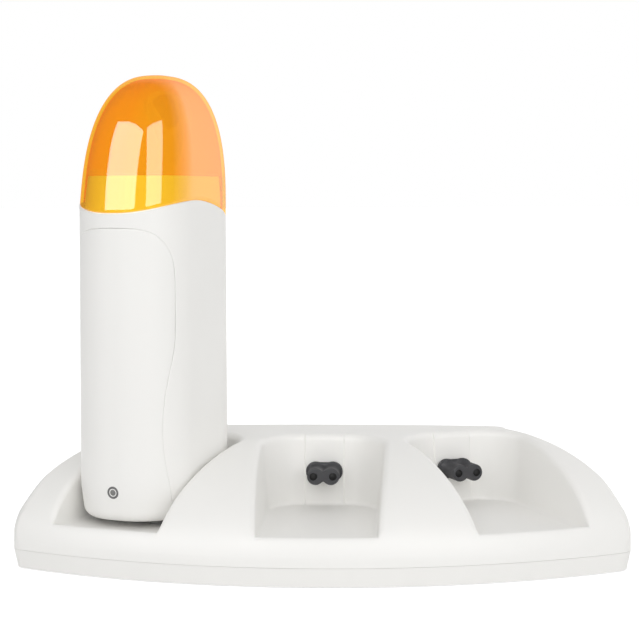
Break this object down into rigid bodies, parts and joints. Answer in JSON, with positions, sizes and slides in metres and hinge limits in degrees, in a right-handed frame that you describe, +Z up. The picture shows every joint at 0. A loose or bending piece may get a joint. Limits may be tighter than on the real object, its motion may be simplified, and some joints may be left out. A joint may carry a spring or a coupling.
{
  "type": "roll on wax heater",
  "caption": "Fan-shaped base with docking bays for cartridge wax warmers, one upright warmer docked, its translucent amber cap on.",
  "frame": {"origin": "middle of the base's outline, on the table", "axes": "+X along the base's width, to the right seen from the front; +Y to the back; +Z up"},
  "size_m": [0.2608, 0.1234, 0.2087],
  "materials": {
    "white_plastic": "smooth glossy white moulding",
    "cream_plastic": "heat-resistant off-white moulding",
    "grey_plastic": "dark grey insulating moulding",
    "amber_plastic": "translucent polished amber",
    "brass_contact": "pressed brass",
    "steel": "plated steel",
    "well_aluminium": "drawn, satin",
    "element_ceramic": "matt ceramic",
    "lens": "clear diffusing lens",
    "board": "green laminate",
    "brown_sleeve": "brown wire insulation",
    "blue_sleeve": "blue wire insulation",
    "rubber_feet": "matt rubber"
  },
  "bodies": {
    "base": {"base_shell": "white_plastic", "bottom_tray": "white_plastic", "base_feet": "rubber_feet", "base_screws": "steel", "plug_nose_left": "grey_plastic", "plug_nose_middle": "grey_plastic", "plug_nose_right": "grey_plastic", "contacts_left": "brass_contact", "contacts_middle": "brass_contact", "contacts_right": "brass_contact", "base_wire_live": "brown_sleeve", "base_wire_neutral": "blue_sleeve", "mains_inlet": "grey_plastic", "mains_pins": "steel"},
    "warmer": {"warmer_shell": "white_plastic", "front_panel": "white_plastic", "neck_frame": "cream_plastic", "heating_well": "well_aluminium", "heating_element": "element_ceramic", "element_clip": "steel", "thermal_fuse": "element_ceramic", "indicator_lens": "lens", "indicator_ring": "grey_plastic", "indicator_led": "lens", "circuit_board": "board", "warmer_socket": "grey_plastic", "socket_pins": "steel", "warmer_wire_live": "brown_sleeve", "warmer_wire_neutral": "blue_sleeve", "warmer_screws": "steel", "warmer_feet": "rubber_feet"},
    "cap": {"cap": "amber_plastic"}
  },
  "joints": [
    {"name": "warmer_pull", "type": "slide", "parent": "base", "child": "warmer", "axis": [-0.3551, -0.9348, 0], "range_m": [0, 0.0155]},
    {"name": "cap_lift", "type": "slide", "parent": "warmer", "child": "cap", "axis": [0, 0, 1], "range_m": [0, 0.06]}
  ]
}
